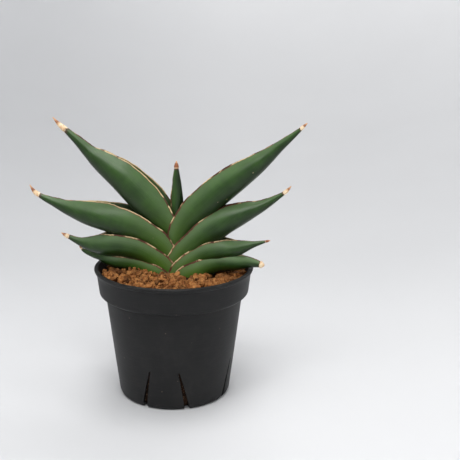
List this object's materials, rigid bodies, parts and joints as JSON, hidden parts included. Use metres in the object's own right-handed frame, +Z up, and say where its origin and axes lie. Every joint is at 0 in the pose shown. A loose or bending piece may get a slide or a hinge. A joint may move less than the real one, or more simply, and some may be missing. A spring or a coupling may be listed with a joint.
{
  "type": "potted snake plant",
  "caption": "Dwarf snake plant: a flat fan of stiff, fleshy, channelled leaves in gritty mix, standing in a tapered plastic nursery pot with drain slots.",
  "frame": {"origin": "centre of the pot's flat underside", "axes": "+Z up along the pot's axis; the fan of leaves spreads along X, turned a little so its +X side is nearer -Y, the side it is looked at from"},
  "size_m": [0.1721, 0.1, 0.175],
  "materials": {
    "pot_plastic": "satin",
    "potting_mix": "matte",
    "root_flesh": "matte",
    "leaf_skin": "satin"
  },
  "bodies": {
    "root": {"pot": "pot_plastic", "soil": "potting_mix", "rootstock": "root_flesh", "leaf_centre": "leaf_skin", "leaf_left_1": "leaf_skin", "leaf_right_1": "leaf_skin", "leaf_left_2": "leaf_skin", "leaf_right_2": "leaf_skin", "leaf_left_3": "leaf_skin", "leaf_right_3": "leaf_skin", "leaf_left_4": "leaf_skin", "leaf_right_4": "leaf_skin", "granule_01": "potting_mix", "granule_02": "potting_mix", "granule_03": "potting_mix", "granule_04": "potting_mix", "granule_05": "potting_mix", "granule_06": "potting_mix", "granule_07": "potting_mix", "granule_08": "potting_mix", "granule_09": "potting_mix", "granule_10": "potting_mix", "granule_11": "potting_mix", "granule_12": "potting_mix", "granule_13": "potting_mix", "granule_14": "potting_mix", "granule_15": "potting_mix", "granule_16": "potting_mix", "granule_17": "potting_mix", "granule_18": "potting_mix"}
  },
  "joints": []
}
